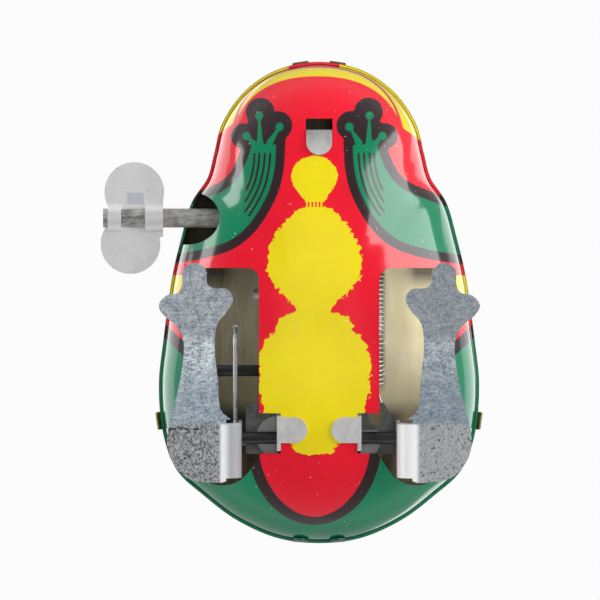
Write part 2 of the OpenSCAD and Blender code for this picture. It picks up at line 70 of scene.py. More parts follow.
# ---------------------------------------------------------------- body shape, in mm about the body's middle
STATIONS = [
    (0, -37.5), (6.4, -36.3), (11.4, -33), (14.8, -28.2), (16.1, -23.4), (17.2, -19.4), (19.7, -15.5),
    (21.3, -10), (22.8, -3.5), (24.1, 6), (24.8, 13), (24.2, 20.3), (22.1, 26.1), (18, 30), (12.8, 33.9),
    (6.5, 36.7), (0, 37.5),
]
CENTRE = np.array([0.0, 2.0])
TIN, SEAM_Z, BELLY_Z, BACK_Z = 0.4, 18.0, 4.0, 34.5
# How square the two domes are, the gap at the seam, and how far the back shell reaches below it.
BELLY_N, BACK_N = 2.6, 2.3
SEAM_GAP, SKIRT = 0.06, 1.2
# The right eye's middle as x, y and z, and its radius.
EYE = (8.8, -20.5, 30.4, 5.6)


def world(points):
    """Points in mm about the body's middle, as row-frame metres."""
    p = np.asarray(points, float) * MM
    p[..., 0] += OX
    p[..., 1] += OY
    return p


def catmull(points, steps, closed=True):
    """A smooth curve through the points."""
    p = np.asarray(points, float)
    n = len(p)
    out = []
    for i in range(n if closed else n - 1):
        a, b, c, d = (p[(i + k) % n] if closed else p[min(max(i + k, 0), n - 1)] for k in (-1, 0, 1, 2))
        for t in np.arange(steps) / steps:
            out.append(0.5 * (2 * b + (c - a) * t + (2 * a - 5 * b + 4 * c - d) * t * t
                              + (3 * b - a - 3 * c + d) * t ** 3))
    if not closed:
        out.append(p[-1])
    return np.array(out)


def even(points, count):
    """The same closed curve with points at equal distances."""
    p = np.vstack([points, points[:1]])
    s = np.r_[0, np.cumsum(np.linalg.norm(np.diff(p, axis=0), axis=1))]
    at = np.linspace(0, s[-1], count + 1)[:-1]
    return np.stack([np.interp(at, s, p[:, k]) for k in range(p.shape[1])], 1)


def outline(count):
    """The body's plan outline at the seam."""
    left = [(-x, y) for x, y in STATIONS[-2:0:-1]]
    return even(catmull(STATIONS + left, 24), count)


def shifted(ring, outset):
    """The outline moved outwards by outset."""
    t = np.roll(ring, -1, 0) - np.roll(ring, 1, 0)
    t /= np.linalg.norm(t, axis=1)[:, None]
    return ring + outset * np.stack([t[:, 1], -t[:, 0]], 1)


def section(power, count, depth):
    """(share of the outline, share of the depth) down a superellipse, evenly spaced along it."""
    a = np.linspace(0, math.pi / 2, 4000)
    s, h = np.cos(a) ** (2 / power), np.sin(a) ** (2 / power)
    way = np.r_[0, np.cumsum(np.hypot(30 * np.diff(s), depth * np.diff(h)))]
    at = np.linspace(0, way[-1], count + 1)[:-1]
    return np.interp(at, way, s), np.interp(at, way, h)


def dome(outset, rim_z, tip_z, power, around, down, skirt=None):
    """Rings of points from the rim to the middle, and the middle point."""
    ring = shifted(outline(around), outset)
    s, h = section(power, down, abs(tip_z - rim_z))
    rows = [np.c_[CENTRE + k * (ring - CENTRE), np.full(around, rim_z + (tip_z - rim_z) * q)]
            for k, q in zip(s, h)]
    if skirt is not None:
        rows.insert(0, np.c_[ring, np.full(around, skirt)])
    return np.array(rows), np.array([CENTRE[0], CENTRE[1], tip_z])


def grid_faces(rows, around, first, flip):
    """Faces between rings of points that start at number first."""
    faces = []
    for j in range(rows - 1):
        for i in range(around):
            a, b = first + j * around + i, first + j * around + (i + 1) % around
            f = (a, b, b + around, a + around)
            faces.append(f[::-1] if flip else f)
    return faces


def thin_shell(name, outer, outer_tip, inner, inner_tip, flip):
    """A closed thin shell between two domes."""
    rows, around = outer.shape[:2]
    inner_rows = inner.shape[0]
    n_out = rows * around
    verts = np.vstack([outer.reshape(-1, 3), inner.reshape(-1, 3), outer_tip, inner_tip])
    faces = grid_faces(rows, around, 0, flip) + grid_faces(inner_rows, around, n_out, not flip)
    tip_out = n_out + inner_rows * around
    last, inner_last = (rows - 1) * around, n_out + (inner_rows - 1) * around
    for i in range(around):
        j = (i + 1) % around
        for f in ((j, i, n_out + i, n_out + j), (last + i, last + j, tip_out),
                  (inner_last + j, inner_last + i, tip_out + 1)):
            faces.append(f[::-1] if flip else f)
    return mesh_object(name, world(verts), faces)


def mesh_object(name, verts, faces, smooth=True):
    """A mesh in the scene from points in metres."""
    mesh = bpy.data.meshes.new(name)
    mesh.from_pydata([tuple(v) for v in verts], [], faces)
    mesh.update()
    mesh.polygons.foreach_set("use_smooth", np.full(len(mesh.polygons), smooth))
    obj = bpy.data.objects.new(name, mesh)
    bpy.context.scene.collection.objects.link(obj)
    return obj


def plate_faces(n, flip=False):
    """Faces of a plate between two rings of n points, the first ring below."""
    faces = [tuple(range(n))[::-1], tuple(range(n, 2 * n))]
    faces += [(i, (i + 1) % n, n + (i + 1) % n, n + i) for i in range(n)]
    return [f[::-1] for f in faces] if flip else faces


def turned(points, first, second, degrees):
    """The points turned from one axis towards another."""
    a = math.radians(degrees)
    out = points.copy()
    out[:, first] = points[:, first] * math.cos(a) - points[:, second] * math.sin(a)
    out[:, second] = points[:, first] * math.sin(a) + points[:, second] * math.cos(a)
    return out


def prism(ring, z0, z1):
    """A closed prism over a plan outline, to cut with."""
    ring = np.asarray(ring, float)
    n = len(ring)
    verts = np.vstack([np.c_[ring, np.full(n, z0)], np.c_[ring, np.full(n, z1)]])
    return mesh_object("cutter", world(verts), plate_faces(n), smooth=False)


def cut(obj, cutters):
    """Takes the cutters away from obj and leaves a plain mesh."""
    for c in cutters:
        mod = obj.modifiers.new("cut", "BOOLEAN")
        mod.operation, mod.solver, mod.object = "DIFFERENCE", "EXACT", c
    bake(obj)
    for c in cutters:
        bpy.data.objects.remove(c, do_unlink=True)


def bake(obj):
    """Turns obj's modifiers into plain mesh."""
    graph = bpy.context.evaluated_depsgraph_get()
    made = bpy.data.meshes.new_from_object(obj.evaluated_get(graph))
    obj.modifiers.clear()
    obj.data = made


def arc(cx, cy, rx, ry, a0, a1, count=16):
    """Points along part of an ellipse, from angle a0 to a1 in degrees."""
    a = np.radians(np.linspace(a0, a1, count))
    return [(cx + rx * math.cos(t), cy + ry * math.sin(t)) for t in a]


def leg_window(side):
    """Plan shape of the opening over one foot, with the notch for the frame's tab."""
    ring = (arc(11.3, -3.5, 1.9, 1.9, 180, 270) + arc(18.4, -3.4, 2, 2, 270, 360) + [(20.6, 8), (20.7, 20)]
            + arc(15.3, 23.1, 5.4, 5.6, 0, 150, 40) + [(9.1, 23.6), (6, 23.6), (6, 17.3), (9.4, 17.3)])
    return [(side * x, y) for x, y in ring][::side]


# ---------------------------------------------------------------- print fields, as signed distances in mm
def polyline(p, line):
    """Distance to a polyline, positive on its left."""
    line = np.asarray(line, float)
    best = np.full(len(p), 1e9)
    sign = np.ones(len(p))
    for a, b in zip(line[:-1], line[1:]):
        d = b - a
        t = np.clip(((p - a) @ d) / (d @ d), 0, 1)
        off = p - a - t[:, None] * d
        dist = np.hypot(off[:, 0], off[:, 1])
        near = dist < best
        best = np.where(near, dist, best)
        side = d[0] * (p[:, 1] - a[1]) - d[1] * (p[:, 0] - a[0])
        sign = np.where(near, np.where(side >= 0, 1.0, -1.0), sign)
    return best * sign


def capsule(p, a, b, ra, rb):
    """Distance to a rounded stroke from a to b whose radius goes from ra to rb."""
    a, b = np.asarray(a, float), np.asarray(b, float)
    d = b - a
    t = np.clip(((p - a) @ d) / (d @ d), 0, 1)
    return np.linalg.norm(p - a - t[:, None] * d, axis=1) - (ra + (rb - ra) * t)


def disc(p, c, r):
    """Distance to a disc."""
    return np.linalg.norm(p - np.asarray(c, float), axis=1) - r


def oval(p, c, a, b, power):
    """About the distance in mm to a superellipse."""
    q = np.abs(p - np.asarray(c, float)) / [a, b]
    f = (q[:, 0] ** power + q[:, 1] ** power) ** (1 / power)
    return (f - 1) * min(a, b)


# Half width of the yellow belly patch along the body, as (y, half width), and the y where it begins and ends.
BELLY_PATCH = np.array([
    (-22.9, 0.0), (-22.75, 1.5), (-22.3, 2.2), (-21.3, 3.2), (-19.9, 3.7), (-18.4, 3.35), (-17, 2.4),
    (-16, 1.55), (-15.4, 1.3), (-14.95, 1.5), (-14.75, 2.7), (-14.2, 3.0), (-13.3, 4.1), (-11.45, 5.5),
    (-9.7, 6.65), (-7.98, 7.25), (-5.45, 7.4), (-3.55, 6.8), (-1.66, 5.4), (-0.1, 3.9), (1.1, 2.55),
    (1.5, 2.6), (1.8, 4.2), (2.76, 5.6), (4.34, 6.15), (5.6, 7.35), (6.87, 8.2), (8.76, 8.67),
    (13.8, 8.67), (15.1, 8.25), (17, 7.75), (19, 6.6), (21, 4.9), (22.2, 3.7), (23.1, 3.1),
    (23.75, 2.5), (23.76, 0.0),
])
PATCH_START, PATCH_END = -22.9, 23.75
# The arms' inner and outer edges, their fingers as (tip, base), and the dark lobes round the hands as
# (middle, radius).
ARM_IN = [(5.9, -27.0), (6.0, -24.7), (6.3, -20.6), (7.4, -16.8), (9.95, -12.55), (13.1, -9.8), (17.3, -8.4),
          (21.5, -7.7), (26, -7.2)]
ARM_OUT = [(9.4, -27), (9.87, -24.4), (10.8, -21.7), (12.2, -19.3), (14.2, -17.6), (16.8, -16.5), (20, -15.4),
           (26, -14.2)]
FINGERS = [((5.45, -27.5), (7.0, -25.0)), ((8.65, -29.3), (8.5, -24.6)), ((10.65, -26.1), (9.5, -24.9))]
LOBES = [((5.75, -27.7), 2.3), ((8.5, -29.9), 2.25), ((11.1, -26.1), 2.0), ((8.3, -26.8), 2.6)]
# How far the print's middle is to the left of the body's, as the photograph shows it.
PRINT_SHIFT = 0.75
# The mouth line's oval: middle, half width, inner and outer half depth, and power; then its own shift.
MOUTH, MOUTH_X = ((0, -24), 13.5, 11.54, 13.09, 2.3), 0.5


def belly_fields(p):
    """The underside's print, from plan points in mm. Negative is inside."""
    x, y = p[:, 0] + PRINT_SHIFT, p[:, 1]
    table_y, table_width = BELLY_PATCH.T
    steps = np.linspace(-24, 25, 500)
    slope = np.gradient(np.interp(steps, table_y, table_width), 49 / 499)
    slope = np.interp(y, steps, slope)
    belly = (np.abs(x) - np.interp(y, table_y, table_width)) / np.sqrt(1 + np.minimum(slope ** 2, 9))
    beyond = np.maximum(PATCH_START - y, y - PATCH_END)
    belly = np.where(beyond > 0, np.maximum(belly, beyond), belly)

    m = np.c_[np.abs(x), y]
    inner = -polyline(m, catmull(ARM_IN, 10, closed=False))
    outer = polyline(m, catmull(ARM_OUT, 10, closed=False))
    arm = np.maximum(-inner, -outer)
    arm_green = np.maximum(arm, -24.7 - y)
    for tip, base in FINGERS:
        arm_green = np.minimum(arm_green, np.minimum(disc(m, tip, 0.66), capsule(m, tip, base, 0.12, 0.5)))
    arm_black = np.maximum(arm - 1.45, -25.6 - y)
    for c, r in LOBES:
        arm_black = np.minimum(arm_black, disc(m, c, r))

    middle, half_width, depth_in, depth_out, power = MOUTH
    mouth_in = oval(np.c_[x - MOUTH_X, y], middle, half_width, depth_in, power)
    mouth_out = oval(np.c_[x - MOUTH_X, y], middle, half_width, depth_out, power)
    lip = np.maximum(np.maximum(-mouth_in, mouth_out + 0.12), y + 29.2)
    lip = np.minimum(lip, np.maximum(np.maximum(0.18 - mouth_out, y + 27.9 - (np.abs(x) - 13.1) * 0.65),
                                     4.0 - np.abs(x)))
    side_x = np.abs(p[:, 0])
    side_yellow = np.maximum(np.maximum(-4.3 - y, y + 0.8), 20 - side_x)
    yellow = np.minimum(lip, side_yellow)

    red_tongue = oval(np.c_[x, y], (0, 22), 8.75, 11.6, 1.9)
    black_tongue = oval(np.c_[x, y], (0, 21.6), 10.55, 13.3, 2.0)
    rear = 23.3 - y
    thigh = np.maximum(3.4 - y + (24.2 - side_x) * 0.9, 14 - side_x)
    thigh_green = np.maximum(5.7 - y + (24.2 - side_x) * 0.9, 14 - side_x)
    black = np.minimum(arm_black, np.minimum(np.maximum(rear, np.minimum(-red_tongue, 9)), thigh))
    green = np.minimum(arm_green, np.minimum(np.maximum(rear, -black_tongue), thigh_green))
    return {"belly": belly, "yellow": yellow, "black": black, "green": green, "arm": inner,
            "lip_line": mouth_out, "along": y}


# The back's spots as (x, y, radius): four on the middle line, and the others on both sides.
SPOTS = [(0, -9, 3.4), (0, 11, 3.2), (0, -17.2, 1.7), (0, 28.5, 1.7)]
SPOTS += [(side * x, y, r) for side in (-1, 1) for x, y, r in (
    (8.5, -4, 2.6), (4.4, 3.5, 2.3), (13.5, 5, 2.8), (8.8, 14.5, 2.4), (15.6, 16.5, 2.2), (3.8, 21.5, 2.0),
    (11, 24, 1.9), (14.6, -7, 2.0))]


def back_fields(p, z):
    """The back's print: spots, a stripe down each side and a mouth line round the snout."""
    q = p[:, :2]
    wobble = 0.35 * np.sin(1.9 * q[:, 0] + 0.7) * np.cos(1.6 * q[:, 1])
    spot = np.full(len(q), 1e9)
    for x, y, r in SPOTS:
        spot = np.minimum(spot, disc(q, (x, y), r) + wobble)
    stripe = np.abs(z - (22.3 + 1.1 * np.sin(q[:, 1] * 0.17))) - 1.25
    mouth = np.maximum(np.abs(z - (20.6 + 0.055 * (q[:, 1] + 37.5) ** 1.35)) - 0.32, q[:, 1] + 22)
    flank = z - (20.0 + 0.5 * np.sin(q[:, 1] * 0.35))
    return {"spot": spot, "stripe": stripe, "mouth": mouth, "flank": flank}


def set_fields(obj, fields):
    """Stores the print fields on a mesh, where the materials read them."""
    for name, values in fields.items():
        a = obj.data.attributes.new(name, "FLOAT", "POINT")
        a.data.foreach_set("value", np.ascontiguousarray(values, dtype=np.float32))


def points_mm(obj):
    """A mesh's points in mm about the body's middle."""
    v = np.empty(len(obj.data.vertices) * 3)
    obj.data.vertices.foreach_get("co", v)
    return (v.reshape(-1, 3) - [OX, OY, 0]) / MM


# ---------------------------------------------------------------- material helpers
class Tree:
    """A short way to write a material's nodes."""

    def __init__(self, name, **constants):
        self.mat = bpy.data.materials.new(name)
        self.mat.use_nodes = True
        self.t = self.mat.node_tree
        self.bsdf = self.t.nodes["Principled BSDF"]
        for key, value in constants.items():
            self.bsdf.inputs[key.replace("_", " ")].default_value = value

    def node(self, kind, **settings):
        n = self.t.nodes.new(kind)
        for key, value in settings.items():
            setattr(n, key, value)
        return n

    def put(self, n, socket, value):
        if isinstance(value, bpy.types.NodeSocket):
            self.t.links.new(value, n.inputs[socket])
        else:
            n.inputs[socket].default_value = value

    def math(self, operation, a, b=0.0):
        n = self.node("ShaderNodeMath", operation=operation)
        self.put(n, 0, a)
        self.put(n, 1, b)
        return n.outputs[0]

    def add(self, a, b):
        return self.math("ADD", a, b)

    def sub(self, a, b):
        return self.math("SUBTRACT", a, b)

    def mul(self, a, b):
        return self.math("MULTIPLY", a, b)

    def above(self, a, b):
        return self.math("GREATER_THAN", a, b)

    def size_of(self, a):
        return self.math("ABSOLUTE", a)

    def fract(self, a):
        return self.math("FRACT", a)

    def band(self, value, middle, half, edge=0.05):
        """1 where a value is less than half away from the middle."""
        return self.inside(self.sub(self.size_of(self.sub(value, middle)), half), edge)

    def field(self, name):
        return self.node("ShaderNodeAttribute", attribute_name=name).outputs["Fac"]

    def coords(self, scale=(1, 1, 1), turn=(0, 0, 0)):
        m = self.node("ShaderNodeMapping")
        self.t.links.new(self.node("ShaderNodeTexCoord").outputs["Object"], m.inputs[0])
        m.inputs["Scale"].default_value = scale
        m.inputs["Rotation"].default_value = turn
        return m.outputs[0]

    def noise(self, scale, detail=4.0, rough=0.6, at=None, distortion=0.0):
        n = self.node("ShaderNodeTexNoise")
        self.put(n, "Vector", at or self.coords())
        for key, value in (("Scale", scale), ("Detail", detail), ("Roughness", rough),
                           ("Distortion", distortion)):
            n.inputs[key].default_value = value
        return n.outputs["Fac"]

    def ramp(self, value, low, high, to_low=0.0, to_high=1.0):
        n = self.node("ShaderNodeMapRange")
        for key, v in (("Value", value), ("From Min", low), ("From Max", high), ("To Min", to_low),
                       ("To Max", to_high)):
            self.put(n, key, v)
        return n.outputs["Result"]

    def inside(self, distance, edge=0.05):
        """1 where a signed distance in mm is negative."""
        return self.ramp(distance, edge, -edge)

    def mix(self, mask, a, b, blend="MIX"):
        n = self.node("ShaderNodeMix", data_type="RGBA", blend_type=blend)
        self.put(n, 0, mask)
        for socket, value in ((6, a), (7, b)):
            self.put(n, socket, value if isinstance(value, bpy.types.NodeSocket) else (*value, 1.0))
        return n.outputs[2]

    def place(self):
        """Row-frame x, y and z in metres."""
        n = self.node("ShaderNodeSeparateXYZ")
        self.t.links.new(self.node("ShaderNodeTexCoord").outputs["Object"], n.inputs[0])
        return n.outputs

    def bump(self, height, distance, strength=1.0, normal=None):
        n = self.node("ShaderNodeBump")
        self.put(n, "Height", height)
        n.inputs["Distance"].default_value = distance
        n.inputs["Strength"].default_value = strength
        if normal is not None:
            self.put(n, "Normal", normal)
        return n.outputs[0]

    def done(self, **links):
        for key, value in links.items():
            self.put(self.bsdf, key.replace("_", " "), value)
        return self.mat


# ---------------------------------------------------------------- printed tin
RED, YELLOW = (0.87, 0.008, 0.028), (0.9, 0.73, 0.008)
GREEN, BLACK = (0.001, 0.23, 0.105), (0.03, 0.015, 0.018)
PRINT_GLOSS = {"Coat_Weight": 0.55, "Coat_Roughness": 0.07, "Specular_IOR_Level": 0.5}
# The dark strokes on each arm: mm in from the arm's inner edge, and the y where the stroke ends.
STROKES = ((0.85, -13.4), (1.7, -14.0), (2.55, -15.6), (3.3, -17.4))
STROKE_HALF, STROKE_START = 0.17, -23.4
# The fine red lines across the yellow neck.
NECK_Y, NECK_HALF, NECK_LINES_PER_METRE = -15.3, 0.42, 1750.0


def worn_print(t, colour):
    """Fine flecks, dull patches and tiny dents that all the printed tin shares."""
    flecks = t.ramp(t.noise(2600, 2, 0.5), 0.745, 0.765)
    tone = t.ramp(t.noise(90, 3, 0.5), 0.3, 0.7, 0.93, 1.05)
    shade = t.node("ShaderNodeCombineColor")
    for k in range(3):
        t.put(shade, k, tone)
    colour = t.mix(1.0, colour, shade.outputs[0], "MULTIPLY")
    colour = t.mix(flecks, colour, (0.85, 0.8, 0.75))
    dents = t.bump(t.noise(160, 2, 0.4), 0.00012, 0.5)
    grain = t.bump(t.noise(4200, 2, 0.6), 0.000006, 0.35, dents)
    return t.done(Base_Color=colour, Normal=grain,
                  Roughness=t.ramp(t.noise(260, 4, 0.6), 0.3, 0.75, 0.1, 0.2))


def belly_print(name, rim):
    """The underside's print. With rim, the edge of the back shell's skirt gets a line of painted shade."""
    t = Tree(name, **PRINT_GLOSS)
    along, belly, arm = t.field("along"), t.field("belly"), t.field("arm")
    teeth = t.mul(t.sub(t.noise(1350, 1, 0.4), 0.5), t.ramp(along, -16.5, -14.5, 0.25, 1.6))
    steps = t.mul(t.sub(t.noise(3600, 1, 0.5), 0.5), 0.5)
    colour = t.mix(t.inside(t.add(belly, t.add(teeth, steps))), RED, YELLOW)
    colour = t.mix(t.inside(t.field("yellow"), 0.08), colour, YELLOW)
    lip_line = t.mul(t.band(t.field("lip_line"), 0.0, 0.14), t.ramp(along, -28.9, -29.1))
    colour = t.mix(lip_line, colour, (0.5, 0.05, 0.06))
    lines = t.band(t.fract(t.mul(t.place()[0], NECK_LINES_PER_METRE)), 0.5, 0.24, 0.08)
    neck = t.mul(t.band(along, NECK_Y, NECK_HALF), t.inside(t.sub(belly, 0.3)))
    colour = t.mix(t.mul(lines, neck), colour, RED)
    colour = t.mix(t.inside(t.field("black"), 0.07), colour, BLACK)
    colour = t.mix(t.inside(t.field("green"), 0.07), colour, GREEN)
    for inset, end in STROKES:
        span = t.mul(t.ramp(along, STROKE_START - 0.1, STROKE_START + 0.1), t.ramp(along, end, end - 0.2))
        colour = t.mix(t.mul(t.band(arm, inset, STROKE_HALF), span), colour, BLACK)
    if rim:
        # Painted shade: a dark line along the skirt's lowest, rounded edge.
        colour = t.mix(t.ramp(t.field("rim"), 0.45, 0.8, 0.1, 0.6), colour, (0.05, 0.06, 0.055))
    return worn_print(t, colour)


def back_print():
    """Green with outlined spots, a yellow stripe over a red one, and a mouth line."""
    t = Tree("back_print", **PRINT_GLOSS)
    spot, stripe = t.field("spot"), t.field("stripe")
    green = t.mix(t.ramp(t.noise(40, 3, 0.6), 0.35, 0.7), GREEN, (0.012, 0.36, 0.1))
    colour = t.mix(t.inside(t.sub(spot, 0.45)), green, (0.55, 0.68, 0.03))
    colour = t.mix(t.inside(spot), colour, (0.006, 0.1, 0.045))
    colour = t.mix(t.inside(t.sub(stripe, 0.3)), colour, BLACK)
    colour = t.mix(t.inside(stripe), colour, YELLOW)
    colour = t.mix(t.inside(t.field("flank"), 0.15), colour, RED)
    colour = t.mix(t.inside(t.field("mouth")), colour, BLACK)
    return worn_print(t, colour)


# The eye's rings from the outside in: degrees from where the eye looks, and colour.
EYE_RINGS = ((52.0, BLACK), (46.0, (0.88, 0.86, 0.8)), (33.0, YELLOW), (22.0, (0.01, 0.01, 0.012)))


def eye_print():
    """Rings by the angle in degrees from where the eye looks."""
    t = Tree("eye_print", Coat_Weight=0.7, Coat_Roughness=0.05)
    colour = GREEN
    for angle, ring in EYE_RINGS:
        colour = t.mix(t.inside(t.sub(t.field("eye"), angle), 1), colour, ring)
    return worn_print(t, colour)


def lacquer():
    """Gold lacquer on the inside of the tin, brushed and clouded, with painted shade: darker on the left side
    and towards the rear, dark in the front outer corners, behind the spring and by the key's notch; and
    painted sheen in soft darker bands.
    """
    t = Tree("gold_lacquer", Metallic=0.2, Specular_IOR_Level=0.5, Coat_Weight=0.3, Coat_Roughness=0.2)
    x, y, _ = t.place()
    cloud = t.noise(60, 4, 0.6, distortion=0.8)
    brushed = t.noise(260, 6, 0.75, at=t.coords((1, 0.14, 0.4), (0, 0, 0.45)))
    sheen_bands = t.noise(190, 2, 0.4, at=t.coords((1, 0.22, 0.4), (0, 0, 0.55)))
    colour = t.mix(t.ramp(cloud, 0.3, 0.7), (0.75, 0.64, 0.38), (1.0, 0.93, 0.68))
    # Painted shade: the lining is darker towards the left side of the body.
    shaded_side = t.mix(0.72, colour, (0.2, 0.165, 0.105))
    colour = t.mix(t.ramp(x, 0.002, 0.018), shaded_side, colour)
    colour = t.mix(t.ramp(brushed, 0.45, 0.75, 0, 0.45), colour, (1.0, 0.93, 0.72))
    # Painted shade: darker towards the rear, near black at the very back.
    colour = t.mix(t.mul(t.ramp(y, 0.006, 0.018), 0.8), colour, (0.24, 0.2, 0.12))
    colour = t.mix(t.mul(t.ramp(y, 0.0158, 0.0182), 0.88), colour, (0.03, 0.026, 0.02))
    # Painted shade: the lining behind the coiled spring is dark.
    spring = t.mul(t.ramp(x, OX + 0.0108, OX + 0.0102), t.ramp(x, OX, OX + 0.002))
    spring = t.mul(spring, t.ramp(y, 0.0145, 0.0125))
    colour = t.mix(t.mul(spring, 0.9), colour, (0.02, 0.018, 0.015))
    # Painted sheen: soft darker bands across the gold.
    colour = t.mix(t.ramp(sheen_bands, 0.42, 0.58, 0.45, 0), colour, (0.42, 0.35, 0.2))
    # Painted shade: dark in the front outer corners of the windows, behind the toes.
    corner = t.mul(t.ramp(y, -0.0015, -0.0045), t.ramp(t.size_of(t.sub(x, OX)), 0.0125, 0.0155))
    colour = t.mix(t.mul(corner, 0.8), colour, (0.04, 0.032, 0.025))
    # Painted shade: near black by the key's notch.
    notch = t.mul(t.ramp(y, -0.0055, -0.0075), t.ramp(x, OX - 0.009, OX - 0.013))
    colour = t.mix(t.mul(notch, 0.95), colour, (0.012, 0.011, 0.01))
    return t.done(Base_Color=colour, Roughness=t.ramp(brushed, 0.3, 0.7, 0.24, 0.5),
                  Normal=t.bump(brushed, 0.00006, 0.5))


# ---------------------------------------------------------------- bare metal
def metal(name, dark, light, scale, rough=(0.28, 0.5), stretch=(1, 1, 1), metallic=0.9, pits=0.0):
    """Bare metal with drawn lines or clouds along one direction."""
    t = Tree(name, Metallic=metallic)
    grain = t.noise(scale, 6, 0.68, at=t.coords(stretch))
    cloud = t.noise(scale * 0.18, 3, 0.55)
    both = t.add(t.mul(grain, 0.6), t.mul(cloud, 0.4))
    colour = t.mix(t.ramp(both, 0.34, 0.66), dark, light)
    if pits:
        spots = t.ramp(t.noise(2600, 3, 0.7), 0.64, 0.7, 0, pits)
        colour = t.mix(spots, colour, tuple(c * 0.25 for c in dark))
    return t.done(Base_Color=colour, Roughness=t.ramp(grain, 0.3, 0.7, *rough),
                  Normal=t.bump(grain, 0.00003, 0.6))


# Places on the feet, in metres: where the toes end, the shank darkens and the heel begins, all as y;
# where the bend meets the sole, as a distance from the middle; and the y of a scored line on a heel.
TOE_LINE, SHANK, HEEL_LINE = (0.0066, 0.0052), (0.009, 0.015), (0.0189, 0.0193)
BEND_LINE, SCORE_Y = (0.0151, 0.0157), 0.0198


def galvanised():
    """Zinc-coated sheet: streaky spangle, blue-grey clouds, and pitted heels beside a smooth bend, which has
    a painted highlight and, on the left foot's inner side, painted shade.
    """
    t = Tree("galvanised_sheet", Metallic=0.15)
    x, y, _ = t.place()
    across = t.sub(x, OX)
    outwards, behind = t.size_of(across), t.ramp(y, *HEEL_LINE)
    fine = t.noise(2700, 4, 0.8, at=t.coords((0.9, 1.0, 1)))
    streak = t.noise(1700, 3, 0.75, at=t.coords((0.7, 1.2, 1)))
    cloud = t.noise(650, 4, 0.7)
    spangle = t.add(t.add(t.mul(fine, 0.5), t.mul(streak, 0.2)), t.mul(cloud, 0.3))
    colour = t.mix(t.ramp(spangle, 0.43, 0.57), (0.16, 0.21, 0.26), (0.82, 0.89, 0.92))
    colour = t.mix(t.ramp(across, -0.001, 0.001, 0, 0.4), colour, (0.15, 0.175, 0.2))
    colour = t.mix(t.mul(t.ramp(y, *TOE_LINE), 0.45), colour, (0.17, 0.19, 0.215))
    colour = t.mix(t.mul(t.ramp(y, *SHANK), 0.42), colour, (0.11, 0.165, 0.24))

    heel = t.mul(behind, t.ramp(outwards, *BEND_LINE))
    scuff = t.noise(2600, 4, 0.8, at=t.coords((1.2, 0.8, 1)))
    worn = t.mix(t.ramp(scuff, 0.4, 0.58), (0.065, 0.07, 0.075), (0.5, 0.515, 0.53))
    less_worn = t.mix(0.55, worn, (0.46, 0.475, 0.49))
    colour = t.mix(heel, colour, t.mix(t.ramp(across, -0.002, 0.002), worn, less_worn))
    pits = t.mul(t.above(t.noise(1900, 3, 0.75), 0.605), heel)
    colour = t.mix(t.mul(pits, 0.85), colour, (0.02, 0.02, 0.022))
    specks = t.above(t.noise(1900, 2, 0.7), 0.69)
    colour = t.mix(t.mul(specks, 0.6), colour, (0.06, 0.06, 0.07))
    broken = t.mul(t.ramp(t.noise(1700, 3, 0.7), 0.42, 0.5), t.ramp(across, -0.0180, -0.0186))
    score = t.mul(t.ramp(t.size_of(t.sub(y, SCORE_Y)), 0.0003, 0.00012), broken)
    colour = t.mix(t.mul(score, 0.9), colour, (0.025, 0.025, 0.03))

    # The bend: a painted highlight, with painted shade on the left foot's inner side.
    bend = t.mul(behind, t.ramp(outwards, *BEND_LINE[::-1]))
    drawn = t.noise(1500, 4, 0.6, at=t.coords((1.6, 0.3, 1)))
    bright = t.mix(t.ramp(drawn, 0.35, 0.65), (0.94, 0.95, 0.96), (1.0, 1.0, 1.0))
    shaded = t.mul(t.ramp(across, -0.0148, -0.0138), t.ramp(across, 0.0, -0.001))
    colour = t.mix(bend, colour, t.mix(t.mul(shaded, 0.75), bright, (0.24, 0.25, 0.265)))
    rough = t.mix(bend, (0.42, 0.42, 0.42), (0.26, 0.26, 0.26))
    relief = t.bump(t.add(spangle, t.mul(pits, -0.5)), 0.00002, 0.6)
    return t.done(Base_Color=colour, Roughness=rough, Normal=relief)


def framework():
    """Plated strip: light where it comes out through the belly, and painted shade, mottled, higher up inside
    the body.
    """
    t = Tree("plated_frame", Metallic=0.4)
    grain = t.noise(1100, 5, 0.7, at=t.coords((1, 0.5, 1)))
    cloud = t.noise(230, 4, 0.6)
    shade_mottle = t.ramp(t.add(t.mul(grain, 0.5), t.mul(cloud, 0.5)), 0.35, 0.65)
    light = t.mix(t.ramp(grain, 0.3, 0.7), (0.66, 0.655, 0.64), (0.85, 0.845, 0.83))
    # Painted shade: higher up, inside the body, the strip is dark with a mottle.
    dark = t.mix(shade_mottle, (0.055, 0.055, 0.055), (0.2, 0.2, 0.2))
    height = t.place()[2]
    colour = t.mix(t.ramp(height, 0.0052, 0.0072), light, dark)
    round_face = t.mul(t.ramp(height, 0.0079, 0.0081), t.ramp(height, 0.00855, 0.00845))
    colour = t.mix(t.mul(round_face, 0.7), colour, (0.42, 0.42, 0.41))
    return t.done(Base_Color=colour, Roughness=t.ramp(grain, 0.3, 0.7, 0.3, 0.46),
                  Normal=t.bump(grain, 0.00003, 0.5))


# The middle of the key's third, raised strap about the body's middle, and its half sizes, in metres.
STRAP_AT, STRAP_HALF, STRAP_RIM = (-0.0289, -0.0164), (0.00131, 0.00091), 0.0002


